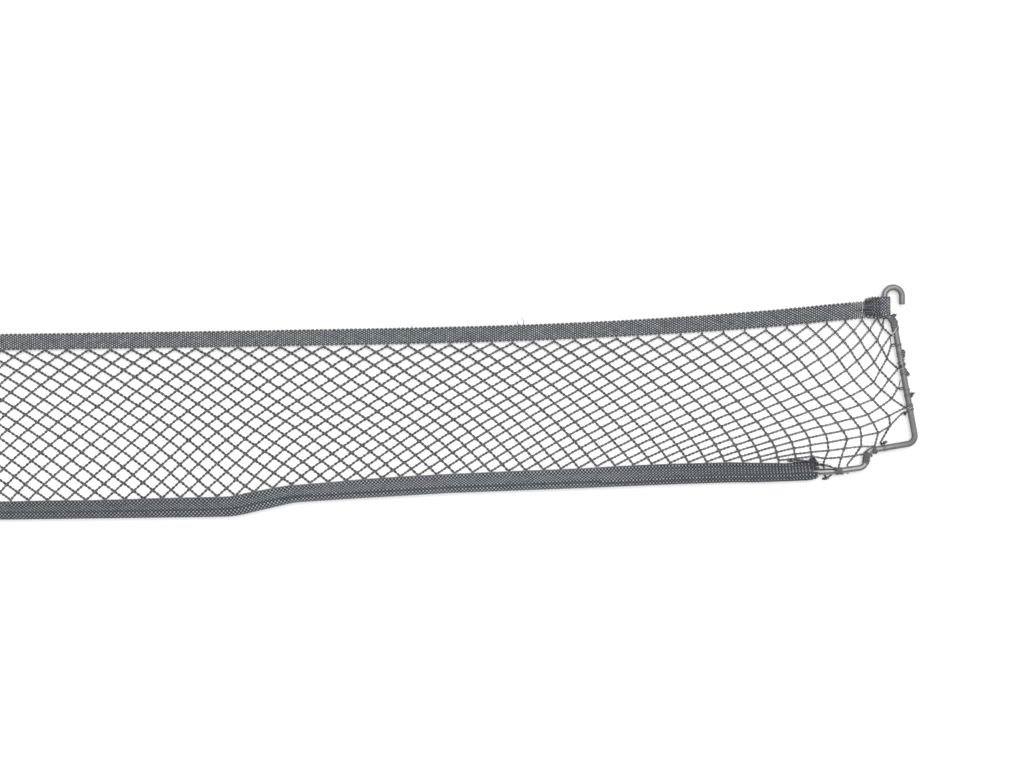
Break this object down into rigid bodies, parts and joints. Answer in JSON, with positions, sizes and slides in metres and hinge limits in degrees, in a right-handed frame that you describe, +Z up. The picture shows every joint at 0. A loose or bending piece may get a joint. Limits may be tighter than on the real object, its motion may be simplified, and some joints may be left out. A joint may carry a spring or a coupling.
{
  "type": "cargo net on a bent wire frame",
  "caption": "Long strip of knotless diamond netting between two braided edge tapes, laid flat on a bent wire frame with an open hook at each end.",
  "frame": {"origin": "middle of the bounding box at the level of the surface it lies on", "axes": "+X along the strip towards the higher end, +Y from the lower rail towards the hooks, +Z up from the surface"},
  "size_m": [0.9122, 0.1524, 0.0076],
  "materials": {
    "frame_wire": "thin satin grey paint over round steel wire, worn paler along the top of the lower runs",
    "edge_tape": "matt grey braided polyester elastic tape with a dotted diagonal stitch and scalloped edges",
    "netting": "dark grey two-ply twisted polyester cord, matt",
    "lashing_thread": "dark grey sewing thread, matt, with a few pale fibres"
  },
  "bodies": {
    "root": {"wire_frame": "frame_wire", "top_tape": "edge_tape", "bottom_tape": "edge_tape", "net": "netting", "lashing_right_tape_end": "lashing_thread", "lashing_right_upper_loop": "lashing_thread", "lashing_right_upper_tuft": "lashing_thread", "lashing_right_side_wrap": "lashing_thread", "lashing_right_side_tuft": "lashing_thread", "lashing_right_middle_loop": "lashing_thread", "lashing_right_lower_tuft": "lashing_thread", "lashing_right_side_tie": "lashing_thread", "lashing_right_corner_knot": "lashing_thread", "lashing_right_step_wrap": "lashing_thread", "lashing_right_step_tie": "lashing_thread", "lashing_right_rail_tie": "lashing_thread", "lashing_left_tape_end": "lashing_thread", "lashing_left_upper_loop": "lashing_thread", "lashing_left_upper_tuft": "lashing_thread", "lashing_left_side_wrap": "lashing_thread", "lashing_left_side_tuft": "lashing_thread", "lashing_left_middle_loop": "lashing_thread", "lashing_left_lower_tuft": "lashing_thread", "lashing_left_side_tie": "lashing_thread", "lashing_left_corner_knot": "lashing_thread", "lashing_left_step_wrap": "lashing_thread", "lashing_left_step_tie": "lashing_thread", "lashing_left_rail_tie": "lashing_thread"}
  },
  "joints": []
}
